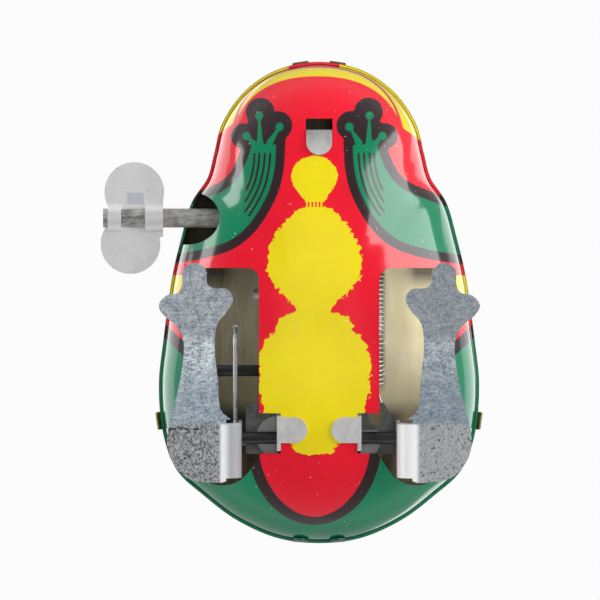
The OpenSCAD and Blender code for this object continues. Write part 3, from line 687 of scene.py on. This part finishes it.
def key_plate():
    """Bright plated sheet: soft clouds, faint handling marks, fine grain, and the raised strap painted in: a
    painted highlight round it and painted shade inside.
    """
    t = Tree("key_sheet", Metallic=0.5)
    cloud = t.noise(170, 3, 0.5, at=t.coords((1, 0.6, 1)), distortion=0.4)
    grain = t.noise(2600, 3, 0.6, at=t.coords((0.4, 1, 1)))
    colour = t.mix(t.ramp(cloud, 0.25, 0.75), (0.88, 0.89, 0.9), (1.0, 1.0, 1.0))
    colour = t.mix(t.ramp(grain, 0.35, 0.7, 0, 0.2), colour, (0.5, 0.51, 0.52))
    marks = t.above(t.noise(1300, 3, 0.75), 0.68)
    colour = t.mix(t.mul(marks, 0.4), colour, (0.3, 0.3, 0.3))
    x, y, _ = t.place()
    off = [t.size_of(t.sub(v, o + at)) for v, o, at in zip((x, y), (OX, OY), STRAP_AT)]
    # The strap: a painted highlight round its edge, then painted shade over its middle.
    for rim, shade in ((STRAP_RIM, (0.95, 0.96, 0.97)), (0.0, (0.5, 0.57, 0.64))):
        inside = [t.ramp(v, half + rim + 0.00005, half + rim - 0.00005) for v, half in zip(off, STRAP_HALF)]
        colour = t.mix(t.mul(t.mul(*inside), 0.55), colour, shade)
    return t.done(Base_Color=colour, Roughness=t.ramp(cloud, 0.3, 0.7, 0.22, 0.36),
                  Normal=t.bump(cloud, 0.0002, 0.5))


MATERIALS = {
    "galvanised_steel": galvanised(),
    "plated_steel": framework(),
    "key_sheet": key_plate(),
    "dark_steel": metal("dark_steel", (0.045, 0.043, 0.045), (0.17, 0.165, 0.165), 900,
                        rough=(0.25, 0.45), stretch=(0.15, 1, 1)),
    "dull_steel": metal("arbor_steel", (0.1, 0.1, 0.095), (0.74, 0.74, 0.7), 2300,
                        rough=(0.26, 0.5), stretch=(0.3, 1, 1), metallic=0.45, pits=0.6),
    "bright_wire": metal("bright_wire", (0.5, 0.51, 0.52), (0.8, 0.81, 0.81), 500,
                         rough=(0.2, 0.32), stretch=(1, 0.15, 1), metallic=0.7),
    "spring_steel": metal("blued_strip", (0.05, 0.055, 0.075), (0.2, 0.21, 0.26), 900,
                          rough=(0.24, 0.42), stretch=(0.2, 1, 1)),
    "gear_brass": metal("gear_brass", (0.42, 0.3, 0.1), (0.83, 0.66, 0.3), 800,
                        rough=(0.25, 0.45), stretch=(0.3, 1, 1)),
}
RAW_EDGE = metal("raw_edge", (0.3, 0.3, 0.3), (0.75, 0.75, 0.74), 1500, (0.3, 0.5))
# The rump tabs: printed green, made darker as painted shade.
RUMP_TAB = metal("printed_tab_in_shade", (0.0, 0.05, 0.03), (0.01, 0.12, 0.07), 900, (0.25, 0.4), metallic=0.0)
# The seam tabs: gold lacquer, made darker and mottled near black as painted shade.
TAB = metal("lacquered_tab_in_shade", (0.1, 0.075, 0.02), (0.42, 0.33, 0.12), 700, (0.3, 0.5))
LACQUER = lacquer()
EYE_PRINT = eye_print()


# ---------------------------------------------------------------- shells
# A face counts as an edge when it looks less than this much out of the body or into it.
EDGE_ON = 0.12


def give_sides(obj, materials, up):
    """Outer, inner and edge materials by which way each face looks from the middle of the body."""
    mesh = obj.data
    mesh.materials.clear()
    for material in materials:
        mesh.materials.append(material)
    count = len(mesh.polygons)
    normal, centre = np.empty(count * 3), np.empty(count * 3)
    mesh.polygons.foreach_get("normal", normal)
    mesh.polygons.foreach_get("center", centre)
    normal, centre = normal.reshape(-1, 3), centre.reshape(-1, 3)
    out = centre - [OX, OY + 0.002, (SEAM_Z - (6 if up else -6)) * MM]
    out /= np.linalg.norm(out, axis=1)[:, None]
    facing = (normal * out).sum(1)
    index = np.where(facing > EDGE_ON, 0, np.where(facing < -EDGE_ON, 1, 2))
    return index, normal, centre


def set_sides(obj, index, sharp):
    """Stores the material numbers, and marks edges over an angle in degrees as sharp."""
    obj.data.polygons.foreach_set("material_index", index.astype(np.int32))
    obj.data.set_sharp_from_angle(angle=math.radians(sharp))


def make_lower():
    """The belly shell, with the leg windows, the front slot and the key's notch."""
    around, down = 420, 96
    outer = dome(0, SEAM_Z - 0.05, BELLY_Z, BELLY_N, around, down)
    inner = dome(-TIN, SEAM_Z - 0.05, BELLY_Z + TIN, BELLY_N, around, 48)
    shell = thin_shell("printed_belly_shell", *outer, *inner, flip=True)
    notch = [(x * 1.2 - 20.6, y - 13.3) for x, y in arc(0, 0, 4.2, 4.2, -90, 90, 32)]
    notch += [(-31, -9.1), (-31, -17.5)]
    slot = [(-2.1, -28.8), (2.1, -28.8), (2.1, -26.5), (-2.1, -26.5)]
    cut(shell, [prism(leg_window(1), -2, 15), prism(leg_window(-1), -2, 15), prism(slot, -2, 14),
                prism(notch, -2, 19)])
    sides = [belly_print("belly_print", False), LACQUER, RAW_EDGE]
    index, normal, centre = give_sides(shell, sides, up=False)
    plan = (centre[:, :2] - [OX, OY]) / MM
    upright = np.abs(normal[:, 2]) < 0.02
    inside_body = np.linalg.norm((plan - CENTRE) / [24, 36], axis=1) < 0.93
    index[upright & inside_body] = 2
    set_sides(shell, index, 40)
    set_fields(shell, belly_fields(points_mm(shell)))
    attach(shell, "casing")
    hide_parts("lower_shell")


def make_upper():
    """The back shell with its skirt over the seam, the eyes and the tabs."""
    around, down = 300, 80
    step = TIN + SEAM_GAP
    outer, tip = dome(step, SEAM_Z, BACK_Z, BACK_N, around, down, skirt=SEAM_Z - SKIRT)
    inner, inner_tip = dome(SEAM_GAP, SEAM_Z, BACK_Z - TIN, BACK_N, around, 40, skirt=SEAM_Z - SKIRT)
    shell = thin_shell("printed_back_shell", outer, tip, inner, inner_tip, flip=False)
    sides = [back_print(), LACQUER, belly_print("seam_print", True)]
    index, _, centre = give_sides(shell, sides, up=True)
    index[centre[:, 2] / MM < SEAM_Z - SKIRT + 0.01] = 2
    set_sides(shell, index, 50)
    p = points_mm(shell)
    set_fields(shell, back_fields(p, p[:, 2]))
    set_fields(shell, belly_fields(p))
    set_fields(shell, {"rim": (np.arange(len(p)) < around).astype(float)})
    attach(shell, "casing")
    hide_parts("upper_shell")
    for side in (-1, 1):
        eye(side)
        seam_tab("front", side * 2.9, -37.52, side * 8 - 90, 2.7, 0.45, 30)
        seam_tab("side", side * 24.75, 18.6, 172 if side < 0 else 8, 2.8, 1.1, 35)
        rump_tab(side)


def eye(side):
    """One pressed eye, printed round the way it looks."""
    x, y, z, r = EYE
    look = np.array([side * 0.62, -0.42, 0.66])
    look /= np.linalg.norm(look)
    around, down = 72, 40
    round_about = np.arange(around) * 2 * math.pi / around
    verts = [(0, 0, 1)]
    for j in range(1, down + 1):
        a = math.radians(100) * j / down
        verts += [(math.sin(a) * math.cos(b), math.sin(a) * math.sin(b), math.cos(a)) for b in round_about]
    faces = [(0, 1 + i, 1 + (i + 1) % around) for i in range(around)]
    faces += grid_faces(down, around, 1, flip=True)
    v = np.array(verts)
    name = "pressed_eye_" + ("left" if side < 0 else "right")
    obj = mesh_object(name, world(v * r + [side * x, y, z]), faces)
    obj.data.materials.append(EYE_PRINT)
    set_fields(obj, {"eye": np.degrees(np.arccos(np.clip(v @ look, -1, 1)))})
    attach(obj, "casing")


def seam_tab(kind, x, y, turn, width, reach, droop):
    """A bent tin tab, rounded at its corners."""
    plan = arc(reach - 0.3, width / 2 - 0.3, 0.3, 0.3, 0, 90, 6)
    plan += arc(-0.2, width / 2 - 0.01, 0.01, 0.01, 90, 180, 2)
    plan += [(a, -b) for a, b in plan[::-1]]
    n = len(plan)
    v = np.vstack([np.c_[plan, np.full(n, -TIN / 2)], np.c_[plan, np.full(n, TIN / 2)]])
    v[:, 2] -= 0.16 * np.maximum(v[:, 0], 0) ** 2
    v = turned(turned(v, 0, 2, -droop), 0, 1, turn)
    name = "seam_tab_" + kind + ("_left" if x < 0 else "_right")
    finish_tab(name, v + [x, y, SEAM_Z - 0.7], plate_faces(n), TAB)


def rump_tab(side):
    """A tab with a round end, folded down over the lower shell at the rump."""
    half, low, high = 1.25, -1.65, 0.15
    plan = [(-half, high), (-half, low)] + arc(0, low, half, half, 180, 360, 20)[1:-1]
    plan = np.array(plan + [(half, low), (half, high)])
    n = len(plan)
    v = np.vstack([np.c_[plan[:, 0], np.full(n, y), plan[:, 1]] for y in (0, TIN)])
    v = turned(turned(v, 1, 2, -8), 0, 1, -side * 4.5)
    name = "rump_tab" + ("_left" if side < 0 else "_right")
    finish_tab(name, v + [side * 2.9, 37.44, SEAM_Z - SKIRT], plate_faces(n, flip=True), RUMP_TAB)


def finish_tab(name, points, faces, material):
    """Makes a tab's mesh and says what it belongs to."""
    obj = mesh_object(name, world(points), faces, smooth=False)
    obj.data.materials.append(material)
    soften(obj, 0.00007)
    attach(obj, "casing")


def soften(obj, width):
    """Rounds the edges by a width in metres."""
    mod = obj.modifiers.new("edges", "BEVEL")
    mod.width, mod.segments = width, 2
    mod.limit_method, mod.angle_limit = "ANGLE", math.radians(35)
    mod.harden_normals = True


# ---------------------------------------------------------------- wire parts
def tube(name, path, radius, sides, material):
    """A round wire along a path in mm, with domed ends."""
    path = np.asarray(path, float)
    t = np.gradient(path, axis=0)
    t /= np.linalg.norm(t, axis=1)[:, None]
    u = np.cross(t[0], [0.0, 0.3, 1.0])
    u /= np.linalg.norm(u)
    rings = []
    a = np.arange(sides) * 2 * math.pi / sides
    for point, along in zip(path, t):
        u = u - along * (u @ along)
        u /= np.linalg.norm(u)
        w = np.cross(along, u)
        rings.append(point + radius * (np.cos(a)[:, None] * u + np.sin(a)[:, None] * w))

    def cap(end, way):
        """Two smaller rings beyond an end of the wire."""
        middle = path[end]
        return [middle + (rings[end] - middle) * share + t[end] * way * radius * out
                for share, out in ((0.8, 0.5), (0.35, 0.85))]

    rings = cap(0, -1)[::-1] + rings + cap(-1, 1)
    faces = grid_faces(len(rings), sides, 0, flip=False)
    faces += [tuple(range(sides))[::-1], tuple((len(rings) - 1) * sides + i for i in range(sides))]
    obj = mesh_object(name, world(np.vstack(rings)), faces)
    obj.data.materials.append(material)
    return obj


# The foot axle, the wire's eye on the foot and the crank, each as (y, z); then how far out the feet's
# uprights stand, and how thick they are.
AXLE = (21.15, 6.85)
EAR = (AXLE[0] + 4 * math.sin(math.radians(14)), AXLE[1] + 4 * math.cos(math.radians(14)))
CRANK = (9.7, 12.0)
UPRIGHT_X, PLATE = 12.1, 0.5


def make_link():
    """The wire link: a long loop round the crank pin, a straight run and a bend into the foot."""
    r, x = 0.38, -(UPRIGHT_X + PLATE + 0.55)
    gap, front, rear = 2.65, 6.5, 13.4
    ear_y, ear_z = EAR
    low, high = CRANK[1] - gap, CRANK[1] + gap
    path = [(-UPRIGHT_X + 0.7, ear_y, ear_z), (x + 0.5, ear_y, ear_z), (x + 0.1, ear_y - 0.12, ear_z),
            (x, ear_y - 0.6, ear_z), (x, 17.5, ear_z), (x, 15.2, low + 0.35), (x, rear, low)]
    path += [(x, front + gap * math.cos(a), CRANK[1] + gap * math.sin(a))
             for a in np.radians(np.arange(270, 89, -20))]
    path += [(x, rear - 1.4, high), (x, 14.2, CRANK[1] + 2.3), (x, 15.6, ear_z + 2.2),
             (x, 16.4, ear_z + 1.2), (x, 17.3, ear_z + 0.85), (x, 18.6, ear_z + 0.82)]
    obj = tube("wire_kick_link", catmull(path, 6, closed=False), r, 14, MATERIALS["bright_wire"])
    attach(obj, "link")
    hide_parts("kick_link")


def make_spring():
    """The coiled spring between the casing's post and the right foot, with a hook and a straight end."""
    x, z, r, pitch, turns, front = 8.6, 10.2, 1.55, 0.705, 25, -4.4
    post_y, hook = -7.2, 0.95
    a = np.radians(np.arange(-150, 151, 15))
    path = [(x, post_y - hook * math.cos(k), z - hook * math.sin(k)) for k in a]
    path += [(x, post_y + 1.5, z + 0.1), (x, front - 0.5, z + r * 0.6)]
    steps = 22
    for i in range(turns * steps + 1):
        k = 2 * math.pi * i / steps
        path.append((x + r * math.sin(k), front + pitch * i / steps, z + r * math.cos(k)))
    end = front + pitch * turns
    ear_y, ear_z = EAR
    path += [(x + 0.55, end + 0.7, z + 0.9), (x + 1.1, end + 2.4, z + 0.45),
             (UPRIGHT_X - 0.7, ear_y - 1.2, ear_z), (UPRIGHT_X - 0.35, ear_y - 0.2, ear_z),
             (UPRIGHT_X, ear_y, ear_z), (UPRIGHT_X + PLATE + 0.45, ear_y, ear_z)]
    obj = tube("coiled_kick_spring", path, 0.2, 8, MATERIALS["bright_wire"])
    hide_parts("kick_spring")
    start, stop = world([UPRIGHT_X, EAR[0] - 0.4, EAR[1]]), world([x, end + 0.8, z])
    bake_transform(obj)


# ---------------------------------------------------------------- build
make_lower()
make_upper()
make_link()
make_spring()

SLOTS = {s["node"]: s["material_slot"] for s in frame["record"]["subparts"]}
SPECIAL = {"winding_key": "key_sheet", "second_arbor": "bright_wire"}
REPLACED = ("lower_shell", "upper_shell", "kick_link", "kick_spring")
SOFTENED = ("left_foot", "right_foot", "winding_key", "front_strap", "frame_left_plate", "frame_right_plate")
for name, obj in frame["nodes"].items():
    if name in REPLACED:
        continue
    obj.data.materials.clear()
    obj.data.materials.append(MATERIALS[SPECIAL.get(name, SLOTS[name])])
    obj.data.polygons.foreach_set("use_smooth", np.full(len(obj.data.polygons), True))
    obj.data.set_sharp_from_angle(angle=math.radians(30))
    if name in SOFTENED:
        soften(obj, 0.00009)

# ---------------------------------------------------------------- floor, light and camera
# The floor is a hair below the soles, so that the two never share a plane. From below it is clear.
FLOOR_HALF, FLOOR_Z = 0.6, -0.00012
floor = mesh_object("floor", [(x * FLOOR_HALF, y * FLOOR_HALF, FLOOR_Z)
                              for x, y in ((-1, -1), (1, -1), (1, 1), (-1, 1))], [(0, 1, 2, 3)])
t = Tree("pale_floor", Roughness=0.85)
colour = t.mix(t.noise(14, 3, 0.5), (0.74, 0.74, 0.735), (0.78, 0.78, 0.775))
t.done(Base_Color=colour)
see = t.node("ShaderNodeMixShader")
t.t.links.new(t.node("ShaderNodeNewGeometry").outputs["Backfacing"], see.inputs[0])
t.t.links.new(t.bsdf.outputs[0], see.inputs[1])
t.t.links.new(t.node("ShaderNodeBsdfTransparent").outputs[0], see.inputs[2])
t.t.links.new(see.outputs[0], t.t.nodes["Material Output"].inputs[0])
floor.data.materials.append(t.mat)
floor.visible_shadow = floor.visible_diffuse = floor.visible_glossy = floor.visible_transmission = False

scene = bpy.context.scene
scene.view_settings.view_transform = "Standard"
# The world: an even pale grey for the camera, and a soft gradient from below to above for the toy.
studio = bpy.data.worlds.new("studio")
scene.world = studio
studio.use_nodes = True
tree = studio.node_tree
back = tree.nodes["Background"]
back.inputs[0].default_value = (0.975, 0.975, 0.975, 1)
back.inputs[1].default_value = 1.0
soft = tree.nodes.new("ShaderNodeBackground")
gradient = tree.nodes.new("ShaderNodeValToRGB")
split = tree.nodes.new("ShaderNodeSeparateXYZ")
tree.links.new(tree.nodes.new("ShaderNodeTexCoord").outputs["Generated"], split.inputs[0])
spread = tree.nodes.new("ShaderNodeMapRange")
tree.links.new(split.outputs[2], spread.inputs[0])
spread.inputs["From Min"].default_value, spread.inputs["From Max"].default_value = -1, 1
tree.links.new(spread.outputs[0], gradient.inputs[0])
GREYS = ((0.0, 0.12), (0.12, 0.14), (0.3, 0.4), (0.46, 0.7), (0.6, 0.5), (1.0, 0.45))
for k, (at, v) in enumerate(GREYS):
    stop = gradient.color_ramp.elements[k] if k < 2 else gradient.color_ramp.elements.new(at)
    stop.position, stop.color = at, (v, v, v * 1.01, 1)
tree.links.new(gradient.outputs[0], soft.inputs[0])
pick = tree.nodes.new("ShaderNodeMixShader")
ray = tree.nodes.new("ShaderNodeLightPath")
tree.links.new(ray.outputs["Is Camera Ray"], pick.inputs[0])
tree.links.new(soft.outputs[0], pick.inputs[1])
tree.links.new(back.outputs[0], pick.inputs[2])
tree.links.new(pick.outputs[0], tree.nodes["World Output"].inputs[0])


def softbox(name, at, size, power, target=(0, -0.012, 0.008), glossy=True, rides=None):
    """An area light that faces target, without reflections if glossy is False; rides names its body."""
    data = bpy.data.lights.new(name, "AREA")
    data.shape, data.size, data.size_y, data.energy = "RECTANGLE", size[0], size[1], power
    o = bpy.data.objects.new(name, data)
    o.location = at
    o.rotation_euler = (Vector(target) - Vector(at)).to_track_quat("-Z", "Y").to_euler()
    o.visible_glossy = glossy
    o.visible_camera = False
    scene.collection.objects.link(o)
    if rides:
        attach(o, rides)


softbox("under_right", (0.39, -0.17, -0.26), (0.26, 0.6), 2.0)
softbox("under_left", (-0.48, -0.13, -0.115), (0.3, 0.18), 0.75)
softbox("under_fill", (0, 0, -1.3), (0.5, 0.5), 6.0, glossy=False)
# Two very small lights brighten the lining, and move with the casing.
LINING = (("right", 11.5, 2.0, 14.5, 3.0, 0.0064), ("left", -10.5, 6.0, -13.0, 6.0, 0.0014))
for side, x, y, to_x, to_y, power in LINING:
    softbox("lining_" + side, world([x, y, 11.0]), (0.006, 0.018), power, world([to_x, to_y, 30.0]),
            glossy=False, rides="casing")
softbox("over_left", (-0.6, -0.15, 0.6), (0.9, 0.9), 2.8)
softbox("over_right", (0.6, 0.15, 0.65), (0.9, 0.9), 2.8)

cam = bpy.data.cameras.new("camera")
cam_obj = bpy.data.objects.new("camera", cam)
scene.collection.objects.link(cam_obj)
scene.camera = cam_obj
# How far the camera is below the soles, and how wide a strip it sees at the seam, in metres.
FAR, WIDE = 1.2, 0.09474
cam.sensor_width = 36
cam.lens = 36 * (FAR + SEAM_Z * MM) / WIDE
aim = Vector(world([-3.0, -0.39, 0]))
cam_obj.location = aim + Vector((0, 0, -FAR))
cam_obj.rotation_euler = (math.pi, 0, 0)
cam.clip_start, cam.clip_end = 0.05, 10
